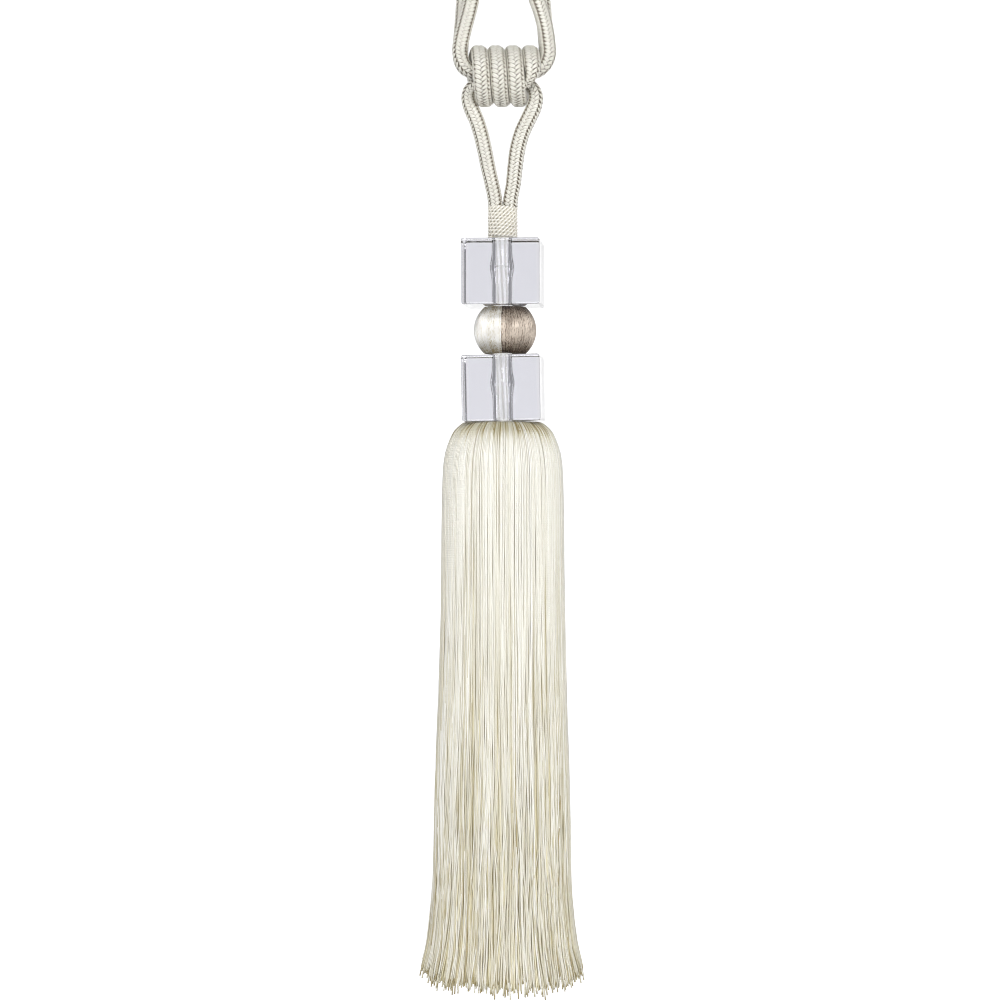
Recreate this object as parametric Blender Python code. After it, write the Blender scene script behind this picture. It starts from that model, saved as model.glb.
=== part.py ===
"""Curtain tieback tassel: a braided cord tie, a wrapped knot, a cord loop with a bound neck,
two clear blocks with a silk-covered ball between them, and a long thread skirt.

Metres, +Z up. The origin is where the tie hangs: on the underside of its two arches.
The tassel is seen from -Y, with +X to the right.
"""

import math
import random
from types import SimpleNamespace

import bmesh
import bpy
from mathutils import Vector
from mathutils.geometry import delaunay_2d_cdt

MM = 0.001

GAP = 0.3 * MM  # between neighbouring pieces
SHARP = math.radians(40)  # edges sharper than this stay crisp
CURVE_STEPS = 12  # fine steps between two points of a route
NEAR = 1e-9  # corners closer than this count as one

# Cord
CORD_RADIUS = 3.2 * MM
CORD_SQUEEZED = 2.4 * MM  # where three strands share the inside of the knot
CORD_BOUND = 2.7 * MM  # where the tassel's cord is bound into the neck
TIE_IN_KNOT = 8 * MM  # from a tie loop's end to where it starts to swell again
TIE_FREE = 22 * MM  # and to where it has its full thickness
LOOP_IN_KNOT = 8 * MM  # the same from the middle of the tassel's loop
LOOP_FREE = 24 * MM
NECK_TAPER = 10 * MM  # the stretch over which the tassel's loop narrows to the neck
TIE_SECTIONS = 50
LOOP_SECTIONS = 56

# Knot: a coil whose axis lies along X, a little deeper than it is high
KNOT_HEIGHT = -43.0 * MM
KNOT_CORD_RADIUS = 3.15 * MM
KNOT_HALF_HEIGHT = 8.65 * MM  # to the middle of the cord
KNOT_HALF_DEPTH = 9.9 * MM
KNOT_PITCH = 6.63 * MM
KNOT_FRONT_SLANT = 0.41 * MM  # how far the front bands lag behind an even helix
KNOT_FIRST_TOP_X = -9.6 * MM  # the first turn's middle, on top of the knot
KNOT_START = math.radians(-125)  # low on the back, tucked in
KNOT_END = math.radians(3 * 360 + 128)  # low on the front, tucked in
KNOT_TUCK = math.radians(60)  # the stretch over which an end narrows
KNOT_TUCKED_RADIUS = 1.3 * MM
KNOT_TUCK_SLIDE = 1.5  # how far the last end slips to the left, for each unit that it narrows
KNOT_TUCK_DIP = 0.3  # how far both ends sink into the knot, likewise
KNOT_POINTS_PER_TURN = 18

# Neck binding
NECK_TOP = -94.4 * MM
NECK_CENTRE_X = -0.1 * MM
NECK_WRAPS = 9
NECK_HALF_WIDTH = 5.85 * MM
NECK_HALF_DEPTH = 4.6 * MM
WRAP_PITCH = 1.38 * MM
WRAP_DEPTH = 0.28 * MM
WRAP_ROUND = [0.0, 0.75, 1.0, 0.75]  # the round of one wrap, in four steps

# Clear blocks
BLOCK_WIDTH = 30.5 * MM
BLOCK_HEIGHT = 25.6 * MM
BLOCK_EDGE = 0.9 * MM  # radius of the rounded edges
BLOCK_TURN = math.radians(-4.5)
LOWER_BLOCK_LEAN = math.radians(-2.0)
LOWER_BLOCK_X = 0.2 * MM
TIP_UNDER_BALL = 0.7  # how much of the lean's rise the ball has to clear
BORE_RADIUS = 3.75 * MM
BORE_BELLY = 1.15 * MM  # how much wider the bore is at mid-height
BORE_BELLY_LENGTH = 5.5 * MM
BORE_STEPS = 10
INNER_CORD_RADIUS = 2.8 * MM

# Ball
BALL_RADIUS = 12.2 * MM
BALL_HEIGHT = 18.2 * MM
BALL_X = 0.8 * MM
BALL_BORE_RADIUS = 4.0 * MM
BALL_SEAM_TURN = math.radians(-8)
BALL_RINGS = 10
BALL_MERIDIANS = 12  # on each half

# Skirt
HEAD_DEPTH = 9.5 * MM
SKIRT_LENGTH = 216.5 * MM
HEM_RAGGED = 3.0 * MM
STRAND_UNEVEN = 0.012  # how far a strand stands out or in at the hem, as a share of the radius
STRAND_WANDER = 0.4  # how far it strays sideways, as a share of the room that the flare opens
OUTER_RADIUS = 20.6 * MM  # of the outer ring of strands, where they leave the head
RIB_DEPTH = 0.35 * MM
STRAND_PEAK = 0.55  # how far a strand's outer edge stands out, as a share of its width
STRAND_BACK = 0.35  # and how far in its flat back lies
STRAND_SWELL = 0.7  # how readily a strand widens as the skirt flares

# The skirt's outline: how far below its top, and its radius there.
SKIRT_OUTLINE = [
    # depth, radius
    (0.0, 15.2),
    (1.6, 17.0),
    (4.0, 19.4),
    (9.5, 21.6),
    (14.0, 22.6),
    (21.0, 23.2),
    (70.0, 23.9),
    (108.0, 25.0),
    (140.0, 26.1),
    (177.0, 26.9),
    (190.0, 27.9),
    (202.0, 29.3),
    (209.0, 31.0),
    (216.0, 32.2),
    (222.0, 32.8),
]

# Depths at which a strand bends: the outer strands follow the outline, the others do so roughly.
OUTER_BENDS = [13.5, 22.0, 70.0, 125.0, 175.0, 199.0]
INNER_BENDS = [22.0, 150.0]

# Rings of strands: radius as a share of the outer ring's, count, width and bends.
STRAND_RINGS = [
    # radius, count, width, bends
    (1.00, 72, 1.45, OUTER_BENDS),
    (0.84, 48, 1.80, INNER_BENDS),
    (0.67, 36, 1.95, INNER_BENDS),
    (0.50, 24, 2.10, INNER_BENDS),
    (0.32, 14, 2.15, INNER_BENDS),
    (0.14, 6, 1.90, INNER_BENDS),
]

# Routes of the cords, in millimetres: from inside the knot round the loop and back into it.
FRONT_TIE_ROUTE = [
    (-0.6, -2.75, -41.45),
    (-5.0, -2.75, -41.45),
    (-9.0, -2.80, -41.45),
    (-12.3, -3.05, -41.1),
    (-14.9, -3.30, -39.3),
    (-16.3, -3.40, -36.3),
    (-16.7, -3.40, -32.8),
    (-15.9, -3.40, -28.2),
    (-14.5, -3.40, -22.6),
    (-13.1, -3.40, -17.4),
    (-12.0, -3.40, -12.4),
    (-10.7, -3.40, -6.8),
    (-8.5, -3.40, -1.9),
    (-5.0, -3.40, 1.9),
    (-0.2, -3.40, 3.3),
    (4.7, -3.40, 2.2),
    (8.5, -3.40, -1.4),
    (10.9, -3.40, -6.5),
    (12.7, -3.40, -12.4),
    (14.8, -3.40, -18.4),
    (16.4, -3.40, -24.6),
    (17.3, -3.40, -30.8),
    (17.4, -3.40, -35.2),
    (15.9, -3.30, -39.1),
    (12.8, -2.95, -41.1),
    (9.0, -2.80, -41.45),
    (4.4, -2.75, -41.45),
    (-0.1, -2.75, -41.45),
]
BACK_TIE_ROUTE = [
    (-0.6, 2.75, -41.45),
    (-5.0, 2.75, -41.45),
    (-9.0, 2.80, -41.45),
    (-12.3, 3.05, -41.1),
    (-15.1, 3.30, -39.3),
    (-16.5, 3.40, -36.2),
    (-16.6, 3.50, -31.6),
    (-16.2, 3.50, -26.0),
    (-15.7, 3.50, -19.6),
    (-15.2, 3.50, -13.3),
    (-14.2, 3.50, -7.4),
    (-11.7, 3.50, -2.0),
    (-7.8, 3.50, 1.9),
    (-2.8, 3.50, 3.5),
    (2.6, 3.50, 3.5),
    (7.8, 3.50, 1.8),
    (11.9, 3.50, -2.1),
    (14.5, 3.50, -7.6),
    (15.5, 3.50, -13.3),
    (16.1, 3.50, -19.6),
    (16.6, 3.50, -26.0),
    (17.0, 3.50, -31.4),
    (16.7, 3.50, -35.6),
    (15.3, 3.40, -39.0),
    (12.6, 3.05, -41.0),
    (9.0, 2.80, -41.45),
    (4.4, 2.75, -41.45),
    (-0.1, 2.75, -41.45),
]
TASSEL_LOOP_ROUTE = [
    (-3.0, 0.0, -94.0),
    (-3.0, 0.0, -92.6),
    (-3.4, 0.0, -89.4),
    (-4.2, 0.0, -85.6),
    (-5.7, 0.2, -79.0),
    (-7.0, 0.4, -72.6),
    (-8.4, 0.7, -66.3),
    (-10.2, 1.1, -60.4),
    (-12.1, 1.4, -56.0),
    (-13.4, 1.6, -52.2),
    (-13.3, 1.4, -49.0),
    (-11.6, 0.8, -46.7),
    (-8.6, 0.2, -45.8),
    (-4.5, 0.0, -45.75),
    (-0.4, 0.0, -45.75),
    (3.7, 0.0, -45.75),
    (7.8, -0.3, -45.9),
    (10.9, -1.0, -47.0),
    (12.5, -1.6, -49.6),
    (12.7, -1.7, -52.6),
    (11.8, -1.5, -55.8),
    (10.0, -1.1, -59.6),
    (7.4, -0.7, -65.2),
    (5.6, -0.4, -71.8),
    (4.7, -0.2, -78.6),
    (4.0, 0.0, -85.2),
    (3.2, 0.0, -89.4),
    (2.8, 0.0, -92.6),
    (2.8, 0.0, -94.0),
]


# Colours and finishes


def material(name, colour, roughness, transmission=0.0):
    """A Principled material; colour is linear red, green and blue."""
    made = bpy.data.materials.new(name)
    made.use_nodes = True
    shader = made.node_tree.nodes["Principled BSDF"]
    shader.inputs["Base Color"].default_value = (*colour, 1.0)
    shader.inputs["Roughness"].default_value = roughness
    shader.inputs["Metallic"].default_value = 0.0
    shader.inputs["Transmission Weight"].default_value = transmission
    return made


# Helpers


def new_object(name, bm, finish, smooth=True):
    """Turns a bmesh into a named object with its faces pointing out."""
    bmesh.ops.recalc_face_normals(bm, faces=bm.faces)
    mesh = bpy.data.meshes.new(name)
    bm.to_mesh(mesh)
    bm.free()
    if smooth:
        mesh.shade_smooth()
        mesh.set_sharp_from_angle(angle=SHARP)
    mesh.materials.append(finish)
    made = bpy.data.objects.new(name, mesh)
    bpy.context.collection.objects.link(made)
    return made


def smooth_step(value, low, high):
    """0 below low, 1 above high, and a soft rise between them."""
    share = min(max((value - low) / (high - low), 0.0), 1.0)
    return share * share * (3 - 2 * share)


def smooth_route(route, count):
    """count points, evenly spaced along a Catmull-Rom curve through a route in millimetres."""
    points = [Vector(place) * MM for place in route]
    ends = [2 * points[0] - points[1], *points, 2 * points[-1] - points[-2]]
    fine = []
    for a, b, c, d in zip(ends, ends[1:], ends[2:], ends[3:]):
        for step in range(CURVE_STEPS):
            t = step / CURVE_STEPS
            bend = (2 * a - 5 * b + 4 * c - d) * t * t + (3 * b - a - 3 * c + d) * t**3
            fine.append((2 * b + (c - a) * t + bend) / 2)
    fine.append(points[-1])
    along = [0.0]
    for a, b in zip(fine, fine[1:]):
        along.append(along[-1] + (b - a).length)
    route = []
    i = 0
    for k in range(count):
        at = along[-1] * k / (count - 1)
        while i < len(fine) - 2 and along[i + 1] < at:
            i += 1
        share = (at - along[i]) / (along[i + 1] - along[i])
        route.append(fine[i].lerp(fine[i + 1], share))
    return route, along[-1]


def cord_tube(name, points, radii, finish, roundness=2):
    """A tube with filled ends along the points, as thick at each one as radii says."""
    curve = bpy.data.curves.new(name, "CURVE")
    curve.dimensions = "3D"
    curve.twist_mode = "MINIMUM"
    curve.bevel_depth = 1.0
    curve.bevel_resolution = roundness
    curve.use_fill_caps = True
    spline = curve.splines.new("POLY")
    spline.points.add(len(points) - 1)
    for point, place, radius in zip(spline.points, points, radii):
        point.co = (*place, 1.0)
        point.radius = radius
    curve.materials.append(finish)
    made = bpy.data.objects.new(name, curve)
    bpy.context.collection.objects.link(made)
    return made


def turned(profile, sides, half_depth=1.0):
    """A closed turned body round Z from (radius, height) pairs; half_depth flattens it along Y."""
    bm = bmesh.new()
    rings = []
    for radius, height in profile:
        ring = []
        for k in range(sides):
            angle = 2 * math.pi * k / sides
            x = radius * math.cos(angle)
            y = radius * math.sin(angle) * half_depth
            ring.append(bm.verts.new((x, y, height)))
        rings.append(ring)
    for low, high in zip(rings, rings[1:]):
        for k in range(sides):
            j = (k + 1) % sides
            bm.faces.new((low[k], low[j], high[j], high[k]))
    bm.faces.new(rings[0])
    bm.faces.new(rings[-1])
    return bm


# Cords


def tie_loop(name, route, finish):
    """One loop of the tie. Its two ends meet inside the knot, where it is squeezed."""
    points, length = smooth_route(route, TIE_SECTIONS)
    radii = []
    for k in range(len(points)):
        along = length * k / (len(points) - 1)
        free = smooth_step(min(along, length - along), TIE_IN_KNOT, TIE_FREE)
        radii.append(CORD_SQUEEZED + (CORD_RADIUS - CORD_SQUEEZED) * free)
    return cord_tube(name, points, radii, finish)


def tassel_loop(finish):
    """The loop that carries the tassel: up from the neck, through the knot and down again."""
    points, length = smooth_route(TASSEL_LOOP_ROUTE, LOOP_SECTIONS)
    radii = []
    for k in range(len(points)):
        along = length * k / (len(points) - 1)
        from_neck = smooth_step(min(along, length - along), 0.0, NECK_TAPER)
        from_knot = smooth_step(abs(along - length / 2), LOOP_IN_KNOT, LOOP_FREE)
        bound = CORD_BOUND + (CORD_RADIUS - CORD_BOUND) * from_neck
        squeezed = CORD_SQUEEZED + (CORD_RADIUS - CORD_SQUEEZED) * from_knot
        radii.append(min(bound, squeezed))
    return cord_tube("tassel_loop", points, radii, finish)


def knot_wrap(finish):
    """Four turns of cord round the X axis. Each end narrows as it tucks in."""
    count = round((KNOT_END - KNOT_START) / (2 * math.pi) * KNOT_POINTS_PER_TURN)
    points = []
    radii = []
    for k in range(count + 1):
        angle = KNOT_START + (KNOT_END - KNOT_START) * k / count
        start_tuck = 1 - smooth_step(angle, KNOT_START, KNOT_START + KNOT_TUCK)
        end_tuck = smooth_step(angle, KNOT_END - KNOT_TUCK, KNOT_END)
        radius = KNOT_CORD_RADIUS
        radius -= (KNOT_CORD_RADIUS - KNOT_TUCKED_RADIUS) * (start_tuck + end_tuck)
        lost = KNOT_CORD_RADIUS - radius
        x = KNOT_FIRST_TOP_X + KNOT_PITCH * angle / (2 * math.pi)
        x -= KNOT_FRONT_SLANT * (1 - math.cos(angle))
        x += lost * (start_tuck - KNOT_TUCK_SLIDE * end_tuck)
        inward = KNOT_TUCK_DIP * lost
        y = -(KNOT_HALF_DEPTH - inward) * math.sin(angle)
        z = KNOT_HEIGHT + (KNOT_HALF_HEIGHT - inward) * math.cos(angle)
        points.append(Vector((x, y, z)))
        radii.append(radius)
    return cord_tube("knot_wrap", points, radii, finish, roundness=3)


def inner_cord(top, bottom, finish):
    """The cord that the blocks and the ball are threaded on."""
    profile = [(INNER_CORD_RADIUS, top), (INNER_CORD_RADIUS, bottom)]
    return new_object("inner_cord", turned(profile, 16), finish)


# Neck


def neck_binding(finish):
    """Turns of thin cord round the two cord ends, as a ridged oval body."""
    profile = []
    for step in range(NECK_WRAPS * len(WRAP_ROUND) + 1):
        bulge = WRAP_ROUND[step % len(WRAP_ROUND)]
        radius = NECK_HALF_WIDTH - WRAP_DEPTH * (1 - bulge)
        profile.append((radius, NECK_TOP - WRAP_PITCH * step / len(WRAP_ROUND)))
    made = new_object(
        "neck_binding", turned(profile, 24, NECK_HALF_DEPTH / NECK_HALF_WIDTH), finish
    )
    made.location.x = NECK_CENTRE_X
    return made


# Clear blocks


def bore_cutter(name):
    """A bore that swells at mid-height, longer than the block."""
    half = BLOCK_HEIGHT / 2
    profile = [(BORE_RADIUS, half + MM)]
    for k in range(BORE_STEPS + 1):
        height = half - BLOCK_HEIGHT * k / BORE_STEPS
        belly = BORE_BELLY * math.exp(-((height / BORE_BELLY_LENGTH) ** 2))
        profile.append((BORE_RADIUS + belly, height))
    profile.append((BORE_RADIUS, -half - MM))
    cutter = new_object(name, turned(profile, 24), None)
    cutter.display_type = "WIRE"
    cutter.hide_render = True
    return cutter


def clear_block(name, top, x, lean, finish):
    """A square block with rounded edges and a bore, its top at the given height."""
    bm = bmesh.new()
    bmesh.ops.create_cube(bm, size=1.0)
    bmesh.ops.scale(bm, vec=(BLOCK_WIDTH, BLOCK_WIDTH, BLOCK_HEIGHT), verts=bm.verts)
    bmesh.ops.bevel(bm, geom=bm.edges, offset=BLOCK_EDGE, segments=2, profile=0.5, affect="EDGES")
    block = new_object(name, bm, finish)
    cutter = bore_cutter(name + "_bore")
    place = bpy.data.objects.new(name + "_place", None)
    bpy.context.collection.objects.link(place)
    place.location = (x, 0.0, top - BLOCK_HEIGHT / 2)
    place.rotation_euler = (0.0, lean, BLOCK_TURN)
    for piece in (block, cutter):
        piece.parent = place
    cut = block.modifiers.new("bore", "BOOLEAN")
    cut.operation = "DIFFERENCE"
    cut.object = cutter
    return block


# Ball


def ball_outline():
    """(radius, height) pairs down the ball's outside, from its top face to its bottom face."""
    half = BALL_HEIGHT / 2
    pairs = []
    for k in range(BALL_RINGS + 1):
        height = half * math.cos(math.pi * k / BALL_RINGS)
        pairs.append((math.sqrt(BALL_RADIUS**2 - height**2), height))
    return pairs


def ball_half(name, side, middle, finish):
    """Half of the wound ball: side is -1 for the left half and 1 for the right one."""
    outside = ball_outline()
    bore = [(BALL_BORE_RADIUS, height) for _, height in reversed(outside)]
    loop = outside + bore
    bm = bmesh.new()
    meridians = []
    for k in range(BALL_MERIDIANS + 1):
        angle = math.pi * k / BALL_MERIDIANS - math.pi / 2
        ring = []
        for radius, height in loop:
            x = radius * math.cos(angle) + GAP / 2
            y = radius * math.sin(angle)
            ring.append(bm.verts.new((side * x, y, height)))
        meridians.append(ring)
    for a, b in zip(meridians, meridians[1:]):
        for k in range(len(loop)):
            j = (k + 1) % len(loop)
            bm.faces.new((a[k], a[j], b[j], b[k]))
    for ring in (meridians[0], meridians[-1]):
        for k in range(BALL_RINGS):
            bm.faces.new((ring[k], ring[k + 1], ring[-k - 2], ring[-k - 1]))
    half = new_object(name, bm, finish)
    half.location = (BALL_X, 0.0, middle)
    half.rotation_euler.z = BALL_SEAM_TURN
    return half


# Skirt


def skirt_radius(depth):
    """The outline's radius at a depth below the skirt's top."""
    depth = depth / MM
    for (low, near), (high, far) in zip(SKIRT_OUTLINE, SKIRT_OUTLINE[1:]):
        if depth <= high:
            share = (depth - low) / (high - low)
            return (near + (far - near) * share) * MM
    return SKIRT_OUTLINE[-1][1] * MM


def strand_section(strand, spread=1.0, drift=0.0):
    """The three corners of a strand, one pointing out; spread carries it out from the axis."""
    angle = strand.angle + drift
    width = strand.width * spread**STRAND_SWELL
    out = Vector((math.sin(angle), -math.cos(angle), 0.0))
    along = Vector((math.cos(angle), math.sin(angle), 0.0))
    middle = out * strand.radius * spread
    return [
        middle + out * STRAND_PEAK * width,
        middle + along * width / 2 - out * STRAND_BACK * width,
        middle - along * width / 2 - out * STRAND_BACK * width,
    ]


def all_strands():
    """Every strand of every ring, each ring turned by half a step from the last."""
    dice = random.Random(7)
    strands = []
    for number, (share, count, width, bends) in enumerate(STRAND_RINGS):
        for k in range(count):
            strand = SimpleNamespace(radius=share * OUTER_RADIUS, width=width * MM)
            strand.angle = 2 * math.pi * (k + 0.5 * (number % 2)) / count
            strand.length = SKIRT_LENGTH + dice.uniform(-HEM_RAGGED, HEM_RAGGED)
            strand.depths = [depth * MM for depth in bends] + [strand.length]
            strand.reach = dice.uniform(-STRAND_UNEVEN, STRAND_UNEVEN)
            strand.wander = dice.uniform(-STRAND_WANDER, STRAND_WANDER)
            strands.append(strand)
    return strands


def head_shell(bm, ribs):
    """The domed head with one rib for each outer strand; gives back its lower rim."""
    depths = [depth * MM for depth, _ in SKIRT_OUTLINE if depth * MM < HEAD_DEPTH] + [HEAD_DEPTH]
    rings = []
    for depth in depths:
        ring = []
        for k in range(2 * ribs):
            angle = math.pi * k / ribs
            radius = skirt_radius(depth) - RIB_DEPTH * (k % 2)
            corner = (radius * math.sin(angle), -radius * math.cos(angle), -depth)
            ring.append(bm.verts.new(corner))
        rings.append(ring)
    bm.faces.new(rings[0])
    for high, low in zip(rings, rings[1:]):
        for k in range(2 * ribs):
            j = (k + 1) % (2 * ribs)
            bm.faces.new((high[k], high[j], low[j], low[k]))
    return rings[-1]


def head_underside(bm, rim, roots):
    """The head's flat underside, with a hole for each strand's root."""
    loops = [rim, *roots]
    corners = [vert for loop in loops for vert in loop]
    numbers = []
    start = 0
    for loop in loops:
        numbers.append(list(range(start, start + len(loop))))
        start += len(loop)
    flat = [vert.co.xy for vert in corners]
    _, _, faces, _, _, sources = delaunay_2d_cdt(flat, [], numbers, 1, NEAR)
    for face, inside in zip(faces, sources):
        if inside == [0]:
            bm.faces.new([corners[k] for k in face])


def hang_strand(bm, root, strand):
    """Draws one strand down from its root on the head."""
    last = root
    for depth in strand.depths:
        spread = skirt_radius(depth) / skirt_radius(HEAD_DEPTH)
        drift = strand.wander * strand.width * (spread - 1) / strand.radius
        spread += strand.reach * depth / strand.length
        ring = []
        for corner in strand_section(strand, spread, drift):
            ring.append(bm.verts.new((corner.x, corner.y, -depth)))
        for k in range(3):
            j = (k + 1) % 3
            bm.faces.new((last[k], last[j], ring[j], ring[k]))
        last = ring
    bm.faces.new(last)


def tassel_skirt(top, finish):
    """The skirt: a domed head whose underside runs out into hanging strands."""
    bm = bmesh.new()
    rim = head_shell(bm, STRAND_RINGS[0][1])
    strands = all_strands()
    roots = []
    for strand in strands:
        corners = strand_section(strand)
        roots.append([bm.verts.new((p.x, p.y, -HEAD_DEPTH)) for p in corners])
    head_underside(bm, rim, roots)
    for root, strand in zip(roots, strands):
        hang_strand(bm, root, strand)
    skirt = new_object("tassel_skirt", bm, finish)
    skirt.location.z = top
    return skirt


def clear_scene():
    for old in list(bpy.data.objects):
        bpy.data.objects.remove(old)


def main():
    clear_scene()
    braid = material("ivory_braid", (0.76, 0.72, 0.60), 0.55)
    binding = material("ivory_binding", (0.72, 0.67, 0.53), 0.55)
    core = material("white_cord", (0.85, 0.85, 0.80), 0.45)
    acrylic = material("clear_acrylic", (0.93, 0.93, 0.95), 0.03, 0.9)
    cream = material("cream_silk", (0.80, 0.76, 0.66), 0.35)
    taupe = material("taupe_silk", (0.38, 0.29, 0.22), 0.35)
    thread = material("ivory_thread", (0.78, 0.74, 0.60), 0.45)

    tie_loop("tie_loop_front", FRONT_TIE_ROUTE, braid)
    tie_loop("tie_loop_back", BACK_TIE_ROUTE, braid)
    knot_wrap(braid)
    tassel_loop(braid)
    neck_binding(binding)

    upper_top = NECK_TOP - NECK_WRAPS * WRAP_PITCH - GAP
    ball_top = upper_top - BLOCK_HEIGHT - GAP
    tip = BLOCK_WIDTH / 2 * abs(math.sin(LOWER_BLOCK_LEAN))
    lower_top = ball_top - BALL_HEIGHT - GAP - TIP_UNDER_BALL * tip
    skirt_top = lower_top - BLOCK_HEIGHT - GAP - tip
    inner_cord(upper_top, skirt_top + GAP, core)
    clear_block("upper_block", upper_top, 0.0, 0.0, acrylic)
    ball_half("ball_cream_half", -1, ball_top - BALL_HEIGHT / 2, cream)
    ball_half("ball_taupe_half", 1, ball_top - BALL_HEIGHT / 2, taupe)
    clear_block("lower_block", lower_top, LOWER_BLOCK_X, LOWER_BLOCK_LEAN, acrylic)
    tassel_skirt(skirt_top, thread)


main()
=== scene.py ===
# %% [markdown]
# # A curtain tieback tassel
#
# This script dresses the fixed frame of a tassel that hangs from a braided tie.
# The frame says where each piece sits. The script gives each of them its threads,
# its braid or its polish, and then a small studio to be seen in.
# Everything is in metres, with Z up, and the tassel is seen from -Y.

# %% The frame
import math

import bpy
import numpy as np
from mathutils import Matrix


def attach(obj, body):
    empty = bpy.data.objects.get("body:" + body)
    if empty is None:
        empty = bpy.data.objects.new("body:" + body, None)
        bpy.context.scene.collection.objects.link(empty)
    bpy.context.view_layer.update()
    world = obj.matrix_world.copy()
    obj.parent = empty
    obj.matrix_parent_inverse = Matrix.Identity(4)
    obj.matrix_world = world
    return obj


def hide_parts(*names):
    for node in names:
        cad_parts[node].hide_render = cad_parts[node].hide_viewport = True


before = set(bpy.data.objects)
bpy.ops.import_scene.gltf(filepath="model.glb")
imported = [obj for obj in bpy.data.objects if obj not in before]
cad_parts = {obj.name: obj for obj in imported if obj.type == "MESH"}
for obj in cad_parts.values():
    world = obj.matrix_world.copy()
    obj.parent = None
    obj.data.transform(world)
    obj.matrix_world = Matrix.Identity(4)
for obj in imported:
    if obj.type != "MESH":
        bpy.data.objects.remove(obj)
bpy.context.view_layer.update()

MM = 0.001

# %% [markdown]
# ## Colours and nodes
#
# Colours are given as sRGB hex values, but light is added up in linear values,
# so one function turns the one into the other.
# Every material is a small graph of nodes. Each line of such a graph adds one node,
# sets it up and plugs in what it reads, so one small helper does all three.


# %% Helpers for materials
def linear(colour):
    """The linear RGBA of an sRGB hex colour such as "E8E2D0"."""
    parts = [int(colour[k : k + 2], 16) / 255 for k in (0, 2, 4)]
    return [p / 12.92 if p <= 0.04045 else ((p + 0.055) / 1.055) ** 2.4 for p in parts] + [1.0]


def fill(node, inputs):
    """Gives a node's inputs their values, or links them to other nodes' sockets."""
    for name, value in inputs.items():
        if isinstance(value, bpy.types.NodeSocket):
            node.id_data.links.new(value, node.inputs[name])
        else:
            node.inputs[name].default_value = value


def add(nodes, kind, inputs=None, **settings):
    """Adds a shader node, sets it up, and fills its inputs."""
    node = nodes.new("ShaderNode" + kind)
    for name, value in settings.items():
        setattr(node, name, value)
    fill(node, inputs or {})
    return node


def new_material(name):
    """An empty material, its nodes, and its one shader."""
    made = bpy.data.materials.new(name)
    made.use_nodes = True
    return made, made.node_tree.nodes, made.node_tree.nodes["Principled BSDF"]


print("ivory in linear light:", [round(v, 3) for v in linear("E8E2D0")])

# %% [markdown]
# ## The camera
#
# The picture was taken level with the middle of the tassel and from far away, as a
# catalogue picture is, so the lens is long. One picture element covers 0.39 mm at
# the tassel's axis, which fixes the distance and the lens together.

# %% Camera
PIXEL = 0.39 * MM
DISTANCE = 3000 * PIXEL
FRAME_WIDTH = 1000 * PIXEL
SENSOR_MM = 36

camera = bpy.data.objects.new("camera", bpy.data.cameras.new("camera"))
camera.data.sensor_width = SENSOR_MM
camera.data.lens = SENSOR_MM * DISTANCE / FRAME_WIDTH
camera.location = (-3 * PIXEL, -DISTANCE, -534 * PIXEL)
camera.rotation_euler = (math.radians(90), 0, 0)
bpy.context.collection.objects.link(camera)
bpy.context.scene.camera = camera
print("lens:", round(camera.data.lens), "mm, from", round(DISTANCE, 2), "m")

# %% [markdown]
# ## Lines and tubes
#
# Nearly all of this object is thread: twisted, braided, wound or hanging.
# A curve object with a bevel could draw each thread, but thousands of them are quicker
# as one mesh, whose corners are worked out all at once as arrays.
# A tube needs a line to follow, a direction that is "up" at each point of it, and the
# outline of its section. The section goes round from "up" towards the right-hand side.


# %% Helpers for lines
def unit(vectors):
    """The same directions, each one metre long."""
    return vectors / np.linalg.norm(vectors, axis=-1, keepdims=True)


def smooth_step(value, low, high):
    """0 below low, 1 above high, and a soft rise between them."""
    share = np.clip((value - low) / (high - low), 0.0, 1.0)
    return share * share * (3 - 2 * share)


def smooth_line(route, spacing):
    """Evenly spaced points on a smooth curve through a route in millimetres; its length too."""
    places = np.array(route) * MM
    ends = np.vstack([2 * places[0] - places[1], places, 2 * places[-1] - places[-2]])
    t = np.linspace(0, 1, 24, endpoint=False)[:, None]
    fine = []
    for a, b, c, d in zip(ends, ends[1:], ends[2:], ends[3:]):
        bend = (2 * a - 5 * b + 4 * c - d) * t**2 + (3 * b - a - 3 * c + d) * t**3
        fine.append((2 * b + (c - a) * t + bend) / 2)
    return even_line(np.vstack([*fine, places[-1:]]), spacing)


def distances_along(fine):
    """How far along a line each of its points is, and the line's length."""
    along = np.concatenate([[0.0], np.cumsum(np.linalg.norm(np.diff(fine, axis=0), axis=1))])
    return along, along[-1]


def even_line(fine, spacing):
    """The same line with evenly spaced points, and its length."""
    along, length = distances_along(fine)
    at = np.linspace(0, length, round(length / spacing) + 1)
    return np.column_stack([np.interp(at, along, fine[:, k]) for k in range(3)]), length


def carried(line, first):
    """A direction square to the line at each point, carried along it without a twist."""
    tangents = unit(np.gradient(line, axis=0))
    ups = []
    up = np.array(first, float)
    for tangent in tangents:
        up = unit(up - tangent * up.dot(tangent))
        ups.append(up)
    return np.array(ups)


print("a 10 mm line has", len(smooth_line([(0, 0, 0), (0, 0, 10)], MM)[0]), "points, 1 mm apart")


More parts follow.
